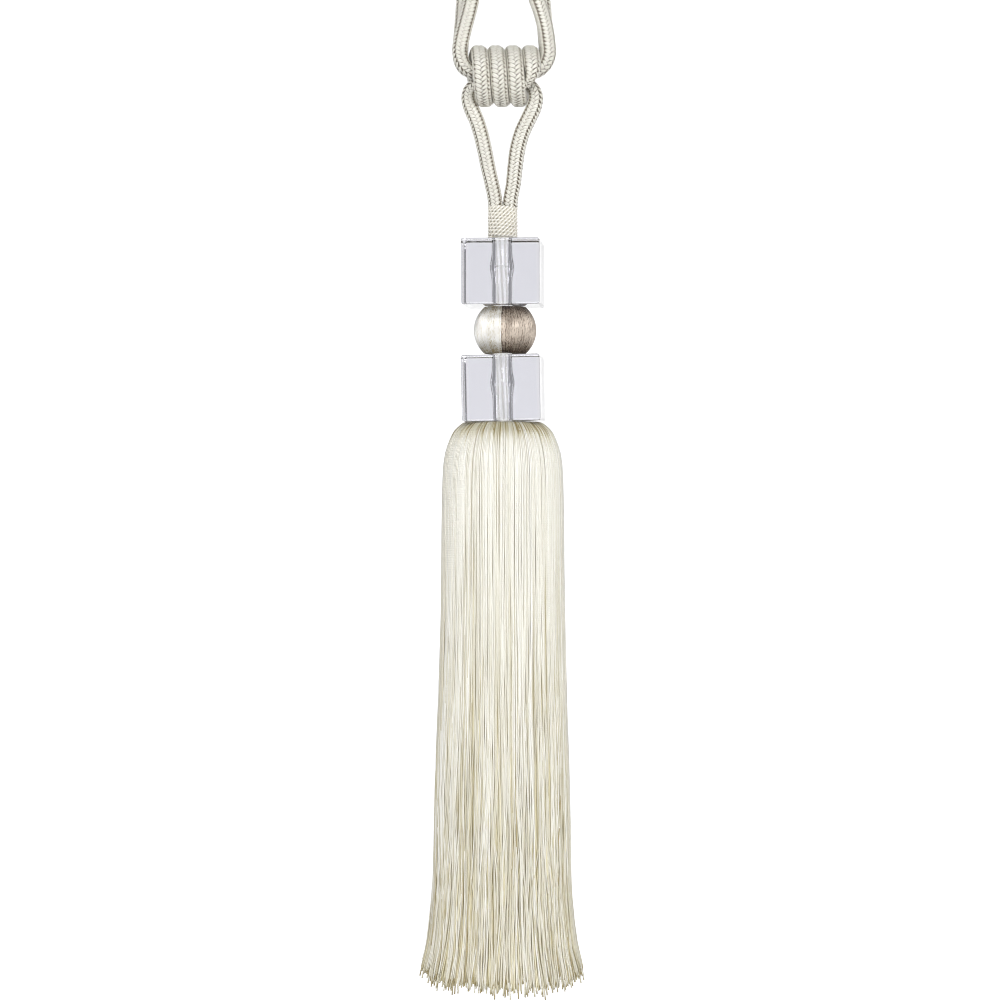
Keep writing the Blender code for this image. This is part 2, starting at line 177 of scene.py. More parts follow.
# %% Helpers for meshes
def new_piece(name, points, faces, finish, marks=None):
    """A smooth mesh object; faces are arrays of corner numbers, marks are values for each point."""
    mesh = bpy.data.meshes.new(name)
    corners = np.concatenate([f.ravel() for f in faces])
    sizes = np.concatenate([np.full(len(f), f.shape[1]) for f in faces])
    mesh.vertices.add(len(points))
    mesh.vertices.foreach_set("co", points.ravel())
    mesh.loops.add(len(corners))
    mesh.loops.foreach_set("vertex_index", corners)
    mesh.polygons.add(len(sizes))
    mesh.polygons.foreach_set("loop_start", np.cumsum(sizes) - sizes)
    mesh.update(calc_edges=True)
    mesh.shade_smooth()
    for mark, values in (marks or {}).items():
        mesh.attributes.new(mark, "FLOAT", "POINT").data.foreach_set("value", values.ravel())
    mesh.materials.append(finish)
    piece = bpy.data.objects.new(name, mesh)
    bpy.context.collection.objects.link(piece)
    return piece


def walls(number):
    """Four-sided faces between neighbouring rings of corner numbers; each ring is closed."""
    low, high = number[..., :-1, :], number[..., 1:, :]
    sides = np.stack([low, np.roll(low, -1, -1), np.roll(high, -1, -1), high], axis=-1)
    return sides.reshape(-1, 4)


def round_section(corners):
    """A round section one unit across, as rows of (across, up, how near a neighbour)."""
    turn = 2 * np.pi * np.arange(corners) / corners
    return np.column_stack([np.sin(turn) / 2, np.cos(turn) / 2, np.abs(np.sin(turn))])


def tube_mesh(lines, ups, section, widths, heights):
    """Points, faces and marks of many tubes. lines and ups are (tubes, points, 3)."""
    tubes, count, _ = lines.shape
    tangents = unit(np.gradient(lines, axis=1))
    rights = unit(np.cross(tangents, ups))
    ups = np.cross(rights, tangents)
    across = section[:, 0] * widths[..., None]
    out = section[:, 1] * heights[..., None]
    points = lines[:, :, None] + rights[:, :, None] * across[..., None]
    points = points + ups[:, :, None] * out[..., None]
    number = np.arange(across.size).reshape(tubes, count, len(section))
    faces = [walls(number), number[:, 0, ::-1], number[:, -1]]
    steps = np.linalg.norm(np.diff(lines, axis=1, prepend=lines[:, :1]), axis=2)
    along = np.broadcast_to(np.cumsum(steps, axis=1)[..., None], across.shape)
    edge = np.broadcast_to(section[:, 2], across.shape)
    marks = {"across_mm": across / MM, "along_mm": along / MM, "edge": edge}
    return points.reshape(-1, 3), faces, marks


def tubes(name, lines, ups, section, widths, heights, finish, tones=None):
    """Many tubes as one piece; each has a tone from 0 to 1, which its material may use."""
    widths = np.broadcast_to(widths, lines.shape[:2])
    heights = np.broadcast_to(heights, lines.shape[:2])
    points, faces, marks = tube_mesh(lines, ups, section, widths, heights)
    tones = np.full(len(lines), 0.5) if tones is None else tones
    tones = tones[:, None] if tones.ndim == 1 else tones
    marks["tone"] = np.repeat(np.broadcast_to(tones, lines.shape[:2]), len(section))
    return new_piece(name, points, faces, finish, marks)


def turned(name, profile, sides, finish, flat=1.0):
    """A closed body turned round Z from (radius, height) pairs that run from its top down."""
    turn = 2 * np.pi * np.arange(sides) / sides
    radius, height = np.array(profile).T[:, :, None]
    x, y = radius * np.cos(turn), radius * np.sin(turn) * flat
    points = np.stack([x, y, np.broadcast_to(height, x.shape)], axis=-1)
    number = np.arange(x.size).reshape(x.shape)
    faces = [walls(number[::-1]), number[:1], number[-1:, ::-1]]
    return new_piece(name, points.reshape(-1, 3), faces, finish)


def joined(piece, *others):
    """The others become part of piece, each with its own material."""
    with bpy.context.temp_override(active_object=piece, selected_editable_objects=[piece, *others]):
        bpy.ops.object.join()
    return piece


def dressed(piece, slot, *nodes):
    """The piece moves with the tassel and may stand for nodes, which it hides; slot is not used."""
    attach(piece, "root")
    if nodes:
        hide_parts(*nodes)
    triangles = sum(len(face.vertices) - 2 for face in piece.data.polygons)
    print(piece.name, "has", triangles, "triangles")
    return piece


print("a thread's section has", len(round_section(4)), "corners")

# %% [markdown]
# ## Rayon
#
# The cords and the fringe of such a tassel are viscose rayon, spun as long, smooth
# filaments. They lie side by side, so the yarn shines along its length like hair:
# a smooth highlight, a soft sheen, and fine streaks that follow the yarn.
# The streaks are drawn as bump from the yarn's own coordinates, with one filament
# group every 0.12 mm. Yarn from different spools also differs a little in tone.
# Where yarns press against each other little light gets in, so their sides get a painted shade, mixed
# into their colour.
# The meshes carry what this needs as marks: where a point is across and along its
# yarn, how near it is to the next yarn, and the yarn's tone.

# %% Helpers for yarn
STREAK_SLOWNESS = 0.06  # how fast a streak changes along the yarn, against across it
STREAK_STRENGTH = 0.35  # how much a streak changes the yarn's tone
FLECK_SHAPE = (1.0, 1.0, 0.25)  # flecks are four times as long as wide
YARN_IOR = 1.48  # viscose has about 1.53, and a little less suits its soft shine
SHEEN_IOR = 1.8  # of a coat that stands for many filaments shining together


def yarn_streaks(nodes, across, along, tone, streak_mm):
    """Fine streaks that run along a yarn and differ from yarn to yarn."""
    slow = add(nodes, "Math", {0: along, 1: STREAK_SLOWNESS}, operation="MULTIPLY")
    place = add(nodes, "CombineXYZ", {"X": across, "Y": tone, "Z": slow.outputs[0]}).outputs[0]
    streak = add(nodes, "TexNoise", {"Vector": place, "Scale": 1 / streak_mm, "Detail": 2.0})
    return streak.outputs["Fac"]


def flecks(nodes, fleck_mm):
    """Paler and darker flecks; the pale ones are a painted sparkle of light."""
    place = add(nodes, "TexCoord").outputs["Object"]
    place = add(nodes, "VectorMath", {0: place, 1: FLECK_SHAPE}, operation="MULTIPLY").outputs[0]
    noise = add(nodes, "TexNoise", {"Vector": place, "Scale": 1 / (fleck_mm * MM), "Detail": 1.0})
    fleck = {"Value": noise.outputs["Fac"], "From Min": 0.3, "From Max": 0.7}
    return add(nodes, "MapRange", {**fleck, "To Min": -0.3, "To Max": 0.65}).outputs["Result"]


def yarn_ramp(nodes, value, shade, dark, light):
    """The colour at a value: shade at the bottom, then the yarn's dark and light tones."""
    ramp = add(nodes, "ValToRGB", {"Fac": value})
    lowest, highest = ramp.color_ramp.elements
    lowest.position, lowest.color = 0.0, linear(shade)
    highest.position, highest.color = 0.95, linear(light)
    ramp.color_ramp.elements.new(0.18).color = linear(dark)
    return ramp.outputs["Color"]


def twist_marks(nodes, height, across, along, ply_mm):
    """Adds the slanting ridges of a twisted thread's plies to a height."""
    slant = add(nodes, "Math", {0: across, 1: 1.2, 2: along}, operation="MULTIPLY_ADD").outputs[0]
    turn = add(nodes, "Math", {0: slant, 1: 2 * math.pi / ply_mm}, operation="MULTIPLY").outputs[0]
    wave = add(nodes, "Math", {0: turn}, operation="SINE").outputs[0]
    return add(nodes, "Math", {0: wave, 1: 0.6, 2: height}, operation="MULTIPLY_ADD").outputs[0]


print("flecks are", 1 / FLECK_SHAPE[2], "times as long as wide")


# %% Rayon yarn
def rayon(
    name, shade, dark, light, streak_mm, groove_shade=0.5, ply_mm=0.0,
    roughness=0.4, gloss=0.3, metal=0.0, relief=0.35, fleck_mm=0.0,
):
    """Satin yarn between two tones, with painted shade where it meets its neighbours.

    groove_shade is how strong that painted shade is, ply_mm how far apart the marks of its twist are,
    relief how deep its bump is, and fleck_mm how wide its flecks are.
    """
    made, nodes, shader = new_material(name)
    names = ("across_mm", "along_mm", "edge", "tone")
    marks = [add(nodes, "Attribute", attribute_name=mark).outputs["Fac"] for mark in names]
    across, along, edge, tone = marks
    height = streak = yarn_streaks(nodes, across, along, tone, streak_mm)
    value = {0: streak, 1: STREAK_STRENGTH, 2: tone}
    value = add(nodes, "Math", value, operation="MULTIPLY_ADD").outputs[0]
    if fleck_mm:
        value = add(nodes, "Math", {0: value, 1: flecks(nodes, fleck_mm)}, operation="ADD").outputs[0]
    colour = yarn_ramp(nodes, value, shade, dark, light)
    # painted shade: the colour goes towards the shade colour near a neighbouring yarn
    near = {"Value": edge, "From Min": 0.4, "From Max": 1.0, "To Max": groove_shade}
    near = add(nodes, "MapRange", near).outputs["Result"]
    shaded = add(nodes, "MixRGB", {"Fac": near, "Color1": colour, "Color2": linear(shade)})
    if ply_mm:
        height = twist_marks(nodes, height, across, along, ply_mm)
    bump = add(nodes, "Bump", {"Height": height, "Strength": relief, "Distance": 0.1 * MM})
    fill(shader, {"Base Color": shaded.outputs["Color"], "Normal": bump.outputs["Normal"]})
    fill(shader, {"Roughness": roughness, "IOR": YARN_IOR, "Metallic": metal})
    fill(shader, {"Coat Weight": gloss, "Coat Roughness": roughness, "Coat IOR": SHEEN_IOR})
    fill(shader, {"Specular IOR Level": 0.5 + gloss / 2})
    return made


def painted_glow(material, colour, strength):
    """A yarn with a painted glow, which stands in for light that has come through it."""
    shader = material.node_tree.nodes["Principled BSDF"]
    fill(shader, {"Emission Color": linear(colour), "Emission Strength": strength})
    return material


print("a yarn's sheen is taken as a coat with an IOR of", SHEEN_IOR)

# %% Yarn of the cords
braid_yarn = rayon(
    "braided_rayon", "5E5038", "C9C5B6", "ECEAE2", streak_mm=0.12, groove_shade=0.76,
    roughness=0.38, gloss=0.6,
)
# the core is dark so that it shows as painted shade in the holes between the yarns
shade_core = rayon("cord_core", "5E5340", "6E6249", "8A7C5E", streak_mm=0.3, roughness=0.8)
print("materials so far:", [m.name for m in (braid_yarn, shade_core)])

# %% [markdown]
# ## The braided cords
#
# The tie is a round cord, 6.4 mm thick, that goes up on both sides to the hook.
# Its routes repeat the frame's, and each cord's length is printed.
# The braid has sixteen yarns, eight winding each way, and each yarn passes over two
# and under two. That makes eight ribs of slanting floats along the cord, which lean
# left and right by turns, with rows of small dark holes where the yarns dive.
# A bump could draw this, but the ribs stand out in the outline, so each yarn is a
# real ribbon that rises and dives. Its section is full in the middle and tucked in at
# the edges. The holes are painted shade on one side of a yarn, at every other seam,
# and each yarn is painted darker where it dives under the others.

# %% Routes of the cords, in millimetres
FRONT_TIE_ROUTE = [
    (-0.6, -2.75, -41.45),
    (-5.0, -2.75, -41.45),
    (-9.0, -2.80, -41.45),
    (-12.3, -3.05, -41.1),
    (-14.9, -3.30, -39.3),
    (-16.3, -3.40, -36.3),
    (-16.7, -3.40, -32.8),
    (-15.9, -3.40, -28.2),
    (-14.5, -3.40, -22.6),
    (-13.1, -3.40, -17.4),
    (-12.0, -3.40, -12.4),
    (-10.7, -3.40, -6.8),
    (-8.5, -3.40, -1.9),
    (-5.0, -3.40, 1.9),
    (-0.2, -3.40, 3.3),
    (4.7, -3.40, 2.2),
    (8.5, -3.40, -1.4),
    (10.9, -3.40, -6.5),
    (12.7, -3.40, -12.4),
    (14.8, -3.40, -18.4),
    (16.4, -3.40, -24.6),
    (17.3, -3.40, -30.8),
    (17.4, -3.40, -35.2),
    (15.9, -3.30, -39.1),
    (12.8, -2.95, -41.1),
    (9.0, -2.80, -41.45),
    (4.4, -2.75, -41.45),
    (-0.1, -2.75, -41.45),
]
BACK_TIE_ROUTE = [
    (-0.6, 2.75, -41.45),
    (-5.0, 2.75, -41.45),
    (-9.0, 2.80, -41.45),
    (-12.3, 3.05, -41.1),
    (-15.1, 3.30, -39.3),
    (-16.5, 3.40, -36.2),
    (-16.6, 3.50, -31.6),
    (-16.2, 3.50, -26.0),
    (-15.7, 3.50, -19.6),
    (-15.2, 3.50, -13.3),
    (-14.2, 3.50, -7.4),
    (-11.7, 3.50, -2.0),
    (-7.8, 3.50, 1.9),
    (-2.8, 3.50, 3.5),
    (2.6, 3.50, 3.5),
    (7.8, 3.50, 1.8),
    (11.9, 3.50, -2.1),
    (14.5, 3.50, -7.6),
    (15.5, 3.50, -13.3),
    (16.1, 3.50, -19.6),
    (16.6, 3.50, -26.0),
    (17.0, 3.50, -31.4),
    (16.7, 3.50, -35.6),
    (15.3, 3.40, -39.0),
    (12.6, 3.05, -41.0),
    (9.0, 2.80, -41.45),
    (4.4, 2.75, -41.45),
    (-0.1, 2.75, -41.45),
]
TASSEL_LOOP_ROUTE = [
    (-3.0, 0.0, -94.0),
    (-3.0, 0.0, -92.6),
    (-3.4, 0.0, -89.4),
    (-4.2, 0.0, -85.6),
    (-5.7, 0.2, -79.0),
    (-7.0, 0.4, -72.6),
    (-8.4, 0.7, -66.3),
    (-10.2, 1.1, -60.4),
    (-12.1, 1.4, -56.0),
    (-13.4, 1.6, -52.2),
    (-13.3, 1.4, -49.0),
    (-11.6, 0.8, -46.7),
    (-8.6, 0.2, -45.8),
    (-4.5, 0.0, -45.75),
    (-0.4, 0.0, -45.75),
    (3.7, 0.0, -45.75),
    (7.8, -0.3, -45.9),
    (10.9, -1.0, -47.0),
    (12.5, -1.6, -49.6),
    (12.7, -1.7, -52.6),
    (11.8, -1.5, -55.8),
    (10.0, -1.1, -59.6),
    (7.4, -0.7, -65.2),
    (5.6, -0.4, -71.8),
    (4.7, -0.2, -78.6),
    (4.0, 0.0, -85.2),
    (3.2, 0.0, -89.4),
    (2.8, 0.0, -92.6),
    (2.8, 0.0, -94.0),
]
print("route points:", len(FRONT_TIE_ROUTE), len(BACK_TIE_ROUTE), len(TASSEL_LOOP_ROUTE))

# %% The yarns of a braid
CORD_RADIUS = 3.2 * MM
BRAID_STEP = 0.3 * MM
BRAID_TURN = 12 * MM  # how far along the cord a yarn goes once round it
YARNS_EACH_WAY = 8
RIBS = 8
DIVE = 2.6  # how suddenly a yarn changes from over to under
YARN_COVER = 1.0  # how wide a yarn is, as a share of the way to the next one
YARN_THICKNESS = 0.66 * MM
YARN_RISE = 0.42 * MM
# half a yarn's section, as rows of (across, out, how near a neighbour)
HALF_SECTION = np.array([(0.0, 0.42, 0.6), (0.22, 0.5, 0.1), (0.45, 0.22, 1.0), (0.5, -0.1, 1.0)])
YARN_SECTION = np.vstack([HALF_SECTION, HALF_SECTION[:0:-1] * (-1, 1, 1)])


def braid_lines(line, ups, radii, turned_by, squareness, turn_length):
    """Each yarn's centre line, its outward directions, how far out it is, and where it dives."""
    rights = np.cross(unit(np.gradient(line, axis=0)), ups)
    along = np.arange(len(line)) * BRAID_STEP / turn_length
    deepest = (YARN_RISE + YARN_THICKNESS / 2) / CORD_RADIUS
    lines, outs, rises, seams = [], [], [], []
    for way in (1, -1):
        for k in range(YARNS_EACH_WAY):
            start = (k + 0.25 * (1 - way)) / YARNS_EACH_WAY
            turn = 2 * np.pi * (start + way * along)
            rise = way * np.tanh(DIVE * np.cos(RIBS / 2 * turn))
            seams.append(np.sin(RIBS / 2 * turn))
            turn = turn + turned_by
            c, s = np.cos(turn), np.sin(turn)
            swell = (np.abs(c) ** squareness + np.abs(s) ** squareness) ** (-1 / squareness)
            out = ups * c[:, None] + rights * s[:, None]
            middle = radii * (swell - deepest + rise * YARN_RISE / CORD_RADIUS)
            lines.append(line + out * middle[:, None])
            outs.append(out)
            rises.append(rise)
    return np.array(lines), np.array(outs), np.array(rises), np.array(seams)


def way_to_next(lines):
    """How far each point of a yarn is from the next yarn that winds the same way."""
    gap = np.roll(lines, -1, axis=0) - lines
    tangents = unit(np.gradient(lines, axis=1))
    return np.linalg.norm(gap - tangents * (gap * tangents).sum(axis=2, keepdims=True), axis=2)


print("a yarn of the braid is", YARN_THICKNESS / MM, "mm thick and has", len(YARN_SECTION), "corners")


# %% A braided cord
def braid_tones(name, line, rises, seams, hole_shade):
    """Tones of the yarns' corners: painted shade where a yarn dives under, the most in the holes."""
    dice = np.random.default_rng(len(name))
    # painted shade: a yarn darkens where it dives under the others
    tones = dice.uniform(0.45, 0.6, (len(rises), 1)) - 0.9 * smooth_step(-rises, -0.3, 0.3)
    one_side = smooth_step(-YARN_SECTION[:, 0], -0.2, 0.2)
    # painted shade in the holes, only at seams whose yarn ends overhang them from above and keep
    # light from above out
    upward = np.sign(np.gradient(line[:, 2]))
    hole_shadow = smooth_step(seams * upward, -0.1, 0.5) * smooth_step(-rises, -0.99, -0.8)
    return tones[..., None] - hole_shade * hole_shadow[..., None] * one_side


def braided_cord(
    name, line, ups, radii, turned_by, squareness=2.0, turn_length=BRAID_TURN, hole_shade=2.2
):
    """A core with sixteen yarns braided over it, as one piece."""
    lines, outs, rises, seams = braid_lines(line, ups, radii, turned_by, squareness, turn_length)
    share = np.broadcast_to(radii / CORD_RADIUS, lines.shape[:2])
    ways = lines[:YARNS_EACH_WAY], lines[YARNS_EACH_WAY:]
    spacing = np.concatenate([way_to_next(way) for way in ways])
    widths = YARN_COVER * spacing * (1 - 0.25 * (1 - rises**2))
    points, faces, marks = tube_mesh(lines, outs, YARN_SECTION, widths, YARN_THICKNESS * share)
    marks["tone"] = braid_tones(name, line, rises, seams, hole_shade)
    piece = new_piece(name, points, faces, braid_yarn, marks)
    some = np.linspace(0, len(line) - 1, len(line) // 6).round().astype(int)
    thick = 1.52 * radii[None, some]
    core = tube_mesh(line[None, some], ups[None, some], round_section(12), thick, thick)
    return joined(piece, new_piece(name + "_core", core[0], core[1], shade_core))


def cord_radii(count, length, middle):
    """Full thickness, less where the binding or the knot squeezes the cord.

    The tie's loops are squeezed at their ends and free in the middle. The tassel's loop
    is held a little everywhere, and its middle is knotted in.
    """
    along = np.linspace(0, length, count)
    if middle == "free":
        from_end = np.minimum(along, length - along)
        return 2.4 * MM + 0.8 * MM * smooth_step(from_end, 8 * MM, 22 * MM)
    left = 2.95 * MM + 0.25 * MM * smooth_step(along, 0, 50 * MM)
    right = 2.95 * MM + 0.25 * MM * smooth_step(length - along, 0, 26 * MM)
    squeezed = 2.4 * MM + 0.8 * MM * smooth_step(np.abs(along - length / 2), 8 * MM, 24 * MM)
    return np.minimum(np.minimum(left, right), squeezed)


thickest = 2 * cord_radii(3, 130 * MM, "free").max()
print("the middle of a 130 mm tie loop is", round(thickest / MM, 1), "mm thick")

# %% The tie and the tassel's loop
for name, node, route, middle, twist in (
    # the last pair is how far the braid is turned round the cord on either side
    ("tie_front_braid", "tie_loop_front", FRONT_TIE_ROUTE, "free", (0.4, -0.8)),
    ("tie_back_braid", "tie_loop_back", BACK_TIE_ROUTE, "free", (0.4, -0.2)),
    ("loop_braid", "tassel_loop", TASSEL_LOOP_ROUTE, "knotted", (0.4, 0.85)),
):
    line, length = smooth_line(route, BRAID_STEP)
    radii = cord_radii(len(line), length, middle)
    ups = carried(line, (0, -1, 0))
    second_side = smooth_step(np.linspace(0, 1, len(line)), 0.4, 0.6)
    turned_by = twist[0] + (twist[1] - twist[0]) * second_side
    cord = braided_cord(name, line, ups, radii, turned_by)
    dressed(cord, "braid", node)
    print(name, "is", round(length / MM, 1), "mm long")

# %% [markdown]
# ## The knot
#
# The tie is gathered by four turns of the same cord, laid side by side, deeper than
# high, as a knot round a bundle is. It is a coil round X. The direction that is "up"
# for its braid always points out of the knot, so that each turn shows the same ribs.
# Its ends grow thinner and dive into the knot. The turns press on each other, so the
# cord is a little square and its braid is tighter; its holes get a lighter painted shade.

# %% Knot
KNOT_HEIGHT = -43.0 * MM
KNOT_HALF_HEIGHT = 8.65 * MM
KNOT_HALF_DEPTH = 9.9 * MM
KNOT_LEFT = -9.6 * MM
KNOT_PITCH = 6.63 * MM
KNOT_SLANT = 0.41 * MM  # half of how much further left a turn is at its bottom
KNOT_ENDS = math.radians(-125), math.radians(3 * 360 + 128)
KNOT_RADIUS = 3.15 * MM
KNOT_THINNING = 1.85 * MM
TUCK_TURN = 1.05  # how much of a turn, in radians, an end takes to dive


def knot_line():
    """The knot's centre line, its outward directions and its radii."""
    start, end = KNOT_ENDS
    turn = np.linspace(start, end, 1400)
    tucked = (
        1 - smooth_step(turn, start, start + TUCK_TURN),
        smooth_step(turn, end - TUCK_TURN, end),
    )
    lost = KNOT_THINNING * (tucked[0] + tucked[1])
    x = KNOT_LEFT + KNOT_PITCH * turn / (2 * np.pi) - KNOT_SLANT * (1 - np.cos(turn))
    x += lost * (tucked[0] - 1.5 * tucked[1])
    deep = KNOT_HALF_DEPTH - 0.3 * lost
    high = KNOT_HALF_HEIGHT - 0.3 * lost
    line = np.column_stack([x, -deep * np.sin(turn), KNOT_HEIGHT + high * np.cos(turn)])
    outs = unit(np.column_stack([0 * x, -high * np.sin(turn), deep * np.cos(turn)]))
    return line, outs, KNOT_RADIUS - lost


fine, fine_outs, fine_radii = knot_line()
line, length = even_line(fine, BRAID_STEP)
at = np.linspace(0, length, len(line))
fine_at, _ = distances_along(fine)
outs = unit(np.column_stack([np.interp(at, fine_at, fine_outs[:, k]) for k in range(3)]))
radii = np.interp(at, fine_at, fine_radii)
knot = braided_cord(
    "knot_braid", line, outs, radii * 1.05, np.full(len(line), -0.3),
    squareness=3.0, turn_length=10.4 * MM, hole_shade=0.9,
)
dressed(knot, "braid", "knot_wrap")
print("the knot takes", round(length / MM), "mm of cord")

# %% [markdown]
# ## The neck
#
# Below the loop the two cord ends are bound together with a thin cord of two plies,
# which is wound nine and a half times. Its first wrap is level and the others slope.
# The plies are what the eye sees: slanting marks on every wrap and a zigzag outline.
# Each ply is a tube that winds round the wrap's own line.

# %% Neck binding
NECK_TOP = -94.4 * MM
NECK_HEIGHT = 9 * 1.38 * MM
NECK_HALF_WIDTH = 5.85 * MM
NECK_HALF_DEPTH = 4.6 * MM
NECK_STEP = 0.24 * MM
WRAPS_TOP = NECK_TOP + 0.7 * MM
WRAP_RADIUS = 0.76 * MM
WRAP_TURNS = 9.6
PLY_WIDTH = 0.86 * MM
PLY_TURN = 3.0 * MM  # how far along the wrap a ply goes once round it

binding_yarn = rayon("binding_rayon", "8F8058", "EFEAD9", "FFFEFA", streak_mm=0.1, groove_shade=0.42)

turn = np.linspace(0, 2 * np.pi * WRAP_TURNS, 1400)
share = np.clip(turn / turn[-1] / 0.9 - 0.1, 0, 1)  # the first wrap is level
bottom = NECK_TOP - NECK_HEIGHT + WRAP_RADIUS
height = WRAPS_TOP - WRAP_RADIUS + (bottom - WRAPS_TOP + WRAP_RADIUS) * share
x = (NECK_HALF_WIDTH - WRAP_RADIUS) * np.cos(turn) - 0.1 * MM
y = (NECK_HALF_DEPTH - WRAP_RADIUS) * np.sin(turn)
line, wrap_length = even_line(np.column_stack([x, y, height]), NECK_STEP)
outs = unit(line * (1, 1, 0))
rights = np.cross(unit(np.gradient(line, axis=0)), outs)
plies, ply_outs = [], []
for k in range(2):
    angle = (np.pi * k - 2 * np.pi * np.arange(len(line)) * NECK_STEP / PLY_TURN)[:, None]
    away = outs * np.cos(angle) + rights * np.sin(angle)
    plies.append(line + away * WRAP_RADIUS / 2)
    ply_outs.append(away)
plies, ply_outs = np.array(plies), np.array(ply_outs)
binding = tubes("neck_wraps", plies, ply_outs, round_section(8), PLY_WIDTH, PLY_WIDTH, binding_yarn)
profile = [(4.85 * MM, NECK_TOP - 0.5 * MM), (4.85 * MM, NECK_TOP - NECK_HEIGHT + 0.3 * MM)]
core = turned("neck_core", profile, 32, binding_yarn, 0.75)
dressed(joined(binding, core), "binding", "neck_binding")
print("binding cord:", round(wrap_length / MM), "mm")

# %% [markdown]
# ## The cord inside
#
# Blocks and ball are threaded on a silky white cord. It shows through the clear
# blocks as pale lines, so it is a bundle of ten loosely twisted strands. White silk
# sends light on from strand to strand, which a faint painted glow of its own stands in for.
# In the upper block the strands are pinched where two lengths of cord meet, and painted shade darkens
# them there.

# %% The stack's heights
BLOCK_WIDTH = 30.5 * MM
BLOCK_HEIGHT = 25.6 * MM
GAP = 0.3 * MM
BALL_HEIGHT = 18.2 * MM
UPPER_TOP = NECK_TOP - NECK_HEIGHT - GAP
BALL_TOP = UPPER_TOP - BLOCK_HEIGHT - GAP
LEAN_RISE = BLOCK_WIDTH / 2 * math.sin(math.radians(2))
LOWER_TOP = BALL_TOP - BALL_HEIGHT - GAP - 0.7 * LEAN_RISE
SKIRT_TOP = LOWER_TOP - BLOCK_HEIGHT - GAP - LEAN_RISE
print("the skirt starts", round(-SKIRT_TOP / MM, 1), "mm below the hook")

# %% Inner cord
STRANDS = 10
STRAND_TWIST = 60 * MM  # how far down a strand goes for one radian of twist
PINCH_HEIGHT = UPPER_TOP - 10.4 * MM
CORD_END = SKIRT_TOP + GAP

white_silk = rayon(
    "white_silk", "7E7A68", "EEEEE8", "FEFEFC", streak_mm=0.1, groove_shade=0.9, roughness=0.3
)
# painted light: a faint glow on the white silk
painted_glow(white_silk, "FFFFFF", 0.48)
height = np.linspace(UPPER_TOP, CORD_END, 90)
pinched = (PINCH_HEIGHT - 0.7 * MM, PINCH_HEIGHT, PINCH_HEIGHT + 0.7 * MM)
height = np.sort(np.append(height, pinched))
pinch = 1 - smooth_step(np.abs(height - PINCH_HEIGHT), 0, 0.6 * MM)
strands, outs = [], []
for k in range(STRANDS):
    angle = 2 * np.pi * k / STRANDS + (UPPER_TOP - height) / STRAND_TWIST
    out = np.column_stack([np.sin(angle), -np.cos(angle), 0 * angle])
    axis = np.column_stack([0 * height, 0 * height, height])
    strands.append(out * (2.8 - 0.15 * pinch[:, None]) * MM + axis)
    outs.append(out)
strands, outs = np.array(strands), np.array(outs)
# painted shade: the strands darken where they are pinched
tones = np.random.default_rng(5).uniform(0.2, 0.8, (STRANDS, 1)) - 0.9 * pinch
inner = tubes(
    "silk_strands", strands, outs, round_section(8), 1.85 * MM, 1.7 * MM, white_silk, tones
)
core = turned("silk_core", [(2.6 * MM, UPPER_TOP), (2.6 * MM, CORD_END)], 24, white_silk)
dressed(joined(inner, core), "inner_cord", "inner_cord")

# %% [markdown]
# ## The clear blocks
#
# Cast acrylic, cut and polished: clear, with a faint grey-lavender tint, rounded edges
# and a drilled bore with a wider middle. The tint is painted shade: it stands for the
# darker room that clear plastic would show. A material with transmission does the work,
# in three finishes: the faces are clear and polished, the bore is as the drill left it,
# a little hazy and barely tinted, and the edges were rounded by a flame, which leaves
# them duller, and they carry a painted shade in their tint too. The shape has to be exact,
# because every face bends light, so each block is one shell: a loop of sections from the
# bore's lower rim, out along the bottom, up the walls, in across the top and down through the bore
# again.
# Thin strips beside each rounded edge keep the flat faces flat to the eye, and the
# sections have more corners where they go round an upright edge.


# %% Acrylic
def polished_acrylic(name, shade_tint, haze_most):
    """Clear plastic that is a little wavy; shade_tint colours what passes through its surface, as
    painted shade.
    """
    made, nodes, shader = new_material(name)
    place = add(nodes, "TexCoord").outputs["Object"]
    wave = add(nodes, "TexNoise", {"Vector": place, "Scale": 60.0, "Detail": 1.0}).outputs["Fac"]
    bump = add(nodes, "Bump", {"Height": wave, "Strength": 0.05, "Distance": 0.4 * MM})
    haze = add(nodes, "TexNoise", {"Vector": place, "Scale": 900.0, "Detail": 2.0}).outputs["Fac"]
    rough = add(nodes, "MapRange", {"Value": haze, "To Min": 0.0, "To Max": haze_most})
    fill(shader, {"Normal": bump.outputs["Normal"], "Roughness": rough.outputs["Result"]})
    fill(shader, {"Base Color": linear(shade_tint), "Transmission Weight": 1.0, "IOR": 1.49})
    return made


# the grey tints of faces and edges are painted shade for a darker room; the bore is nearly untinted
acrylic = polished_acrylic("cast_acrylic", "D0D0D7", 0.03)
drilled_acrylic = polished_acrylic("drilled_acrylic", "FCFCFD", 0.06)
edge_acrylic = polished_acrylic("flamed_acrylic_edge", "D6D6DA", 0.15)
print("acrylic:", [m.name for m in (acrylic, drilled_acrylic, edge_acrylic)])

# %% The shape of a block
BLOCK_EDGE = 0.9 * MM
EDGE_STEPS = 6
FLAT_STRIP = 0.25 * MM
BORE_RADIUS = 4.0 * MM
BORE_BELLY = 0.8 * MM
BORE_STEPS = 40
CORNER_TURN = np.radians(2.6)  # the turn that half a rounded corner takes up
CORNER_POINTS = 9
BLOCK_TURN = math.radians(-4.5)


def square_ring(half, corner, turn):
    """A square with rounded corners, as distances from its middle at each turn."""
    x, y = np.abs(np.cos(turn)), np.abs(np.sin(turn))
    flat = half / np.maximum(x, y)
    inner = half - corner
    b = inner * (x + y)
    round_reach = b + np.sqrt(np.maximum(b**2 - (2 * inner**2 - corner**2), 0))
    in_corner = np.minimum(x, y) * flat > inner
    return np.where(in_corner, round_reach, flat)


